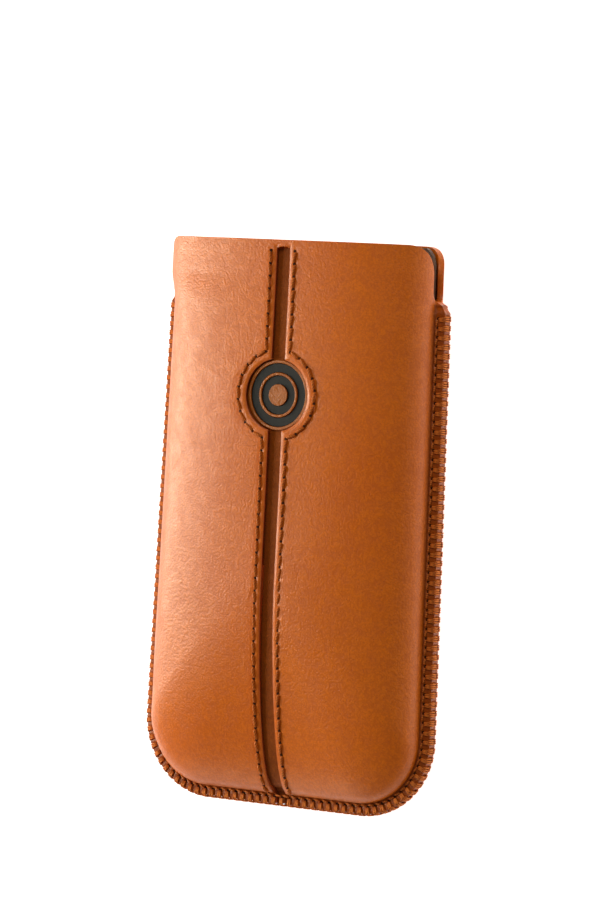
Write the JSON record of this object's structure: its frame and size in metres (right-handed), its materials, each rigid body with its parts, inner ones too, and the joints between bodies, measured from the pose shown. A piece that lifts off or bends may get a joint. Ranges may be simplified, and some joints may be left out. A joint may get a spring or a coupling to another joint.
{
  "type": "leather sleeve",
  "caption": "Tan leather pull-out sleeve for a slim pocket device, open at the top, with a keyhole slot down the front and an edge stitched seam round three sides.",
  "frame": {"origin": "middle of the box that holds the sleeve, on the plane that its back rests on", "axes": "+X to the right seen from the front, +Y out of the mouth, +Z out of the front panel"},
  "size_m": [0.07, 0.1172, 0.0172],
  "materials": {
    "tan_leather": "satin, fine grain",
    "brown_leather": "satin, smooth",
    "suede_lining": "matt suede",
    "dark_inlay": "matt",
    "tan_thread": "waxed thread",
    "rust_thread": "waxed thread"
  },
  "bodies": {
    "root": {"front_panel": "tan_leather", "back_panel": "tan_leather", "channel_strip": "brown_leather", "front_lining": "suede_lining", "back_lining": "suede_lining", "emblem_disc": "brown_leather", "emblem_outer_ring": "dark_inlay", "emblem_inner_ring": "dark_inlay", "slot_thread_left": "tan_thread", "slot_thread_right": "tan_thread", "seam_thread_front": "rust_thread", "seam_thread_back": "rust_thread", "edge_thread": "rust_thread"}
  },
  "joints": []
}
